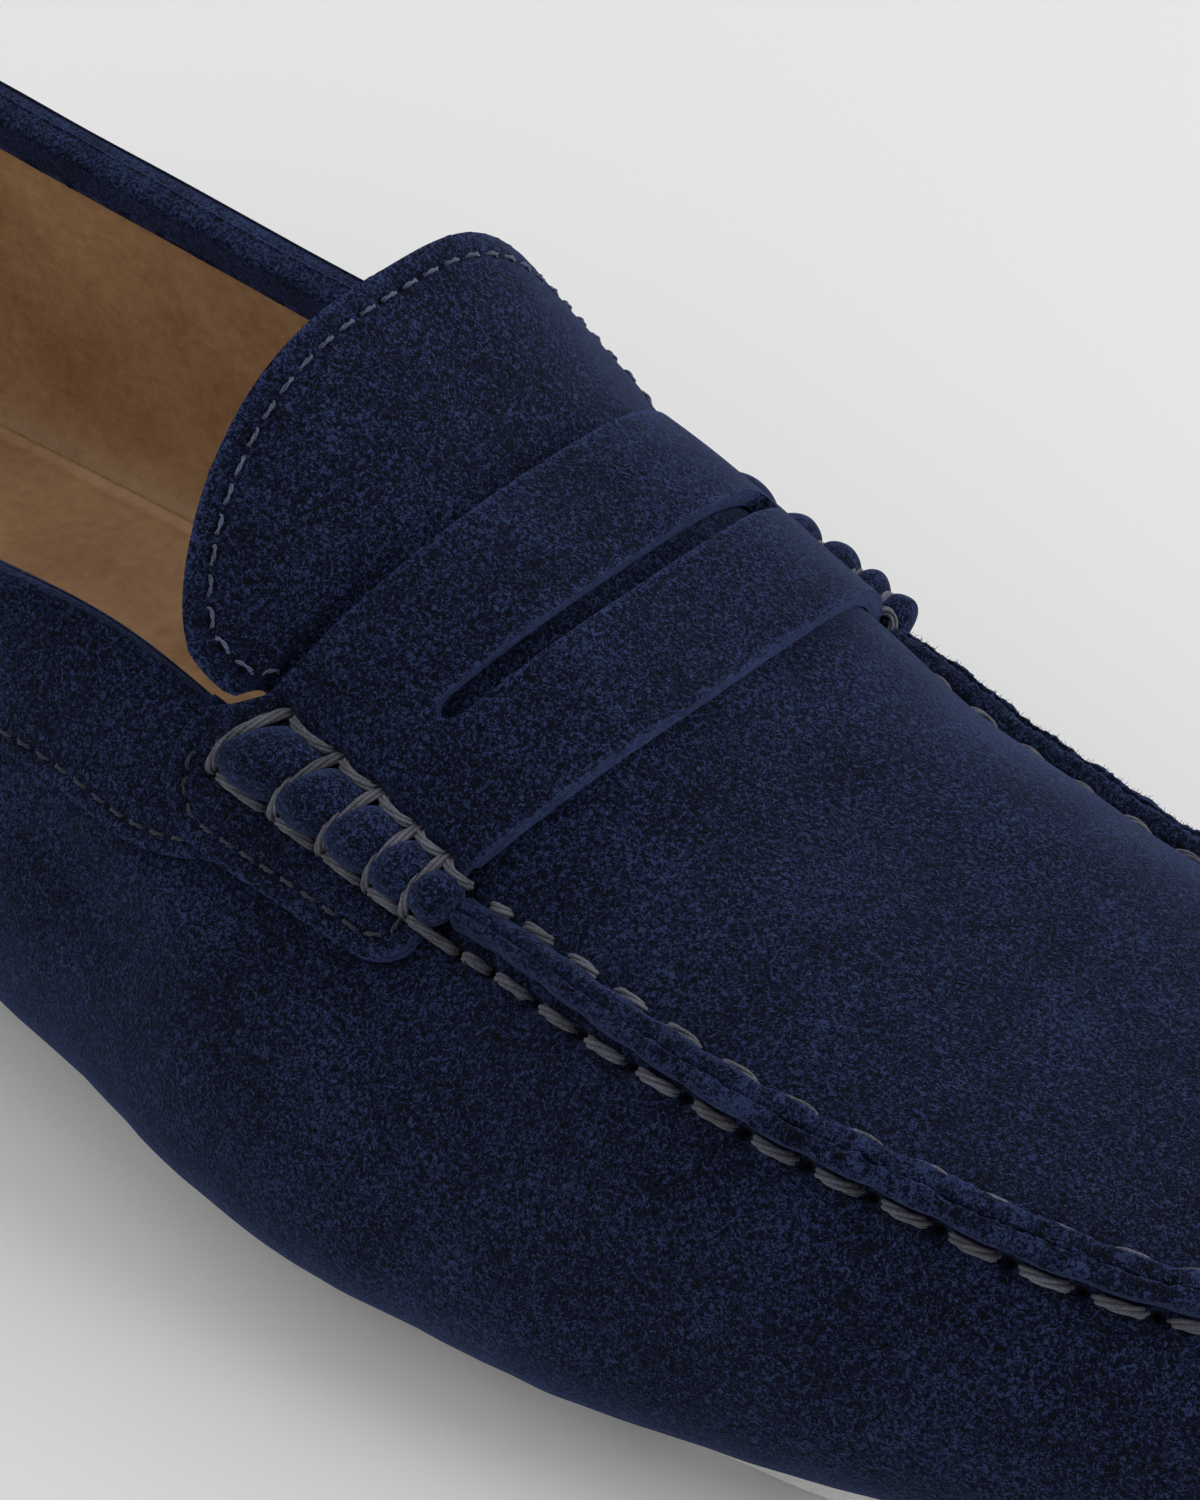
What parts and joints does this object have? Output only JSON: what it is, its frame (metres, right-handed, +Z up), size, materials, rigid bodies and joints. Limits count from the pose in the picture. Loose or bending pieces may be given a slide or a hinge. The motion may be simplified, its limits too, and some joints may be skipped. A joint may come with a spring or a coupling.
{
  "type": "driving moccasin",
  "caption": "Suede penny driving moccasin for the right foot, with a slotted strap, rolled strap ends, a raised apron seam and a studded rubber sole.",
  "frame": {"origin": "on the floor, under the middle of the shoe's box", "axes": "+X to the toe, +Y to the wearer's inner side, +Z up"},
  "size_m": [0.292, 0.1024, 0.0816],
  "materials": {
    "suede": "navy suede with a short, even nap",
    "lining_leather": "smooth tan lining leather",
    "sole_rubber": "matt pale grey rubber"
  },
  "bodies": {
    "root": {"outsole": "sole_rubber", "insole": "lining_leather", "upper": "suede", "tongue": "suede", "strap": "suede", "beef_roll_outer": "suede", "beef_roll_inner": "suede", "moc_seam": "suede", "collar_band": "suede"}
  },
  "joints": []
}
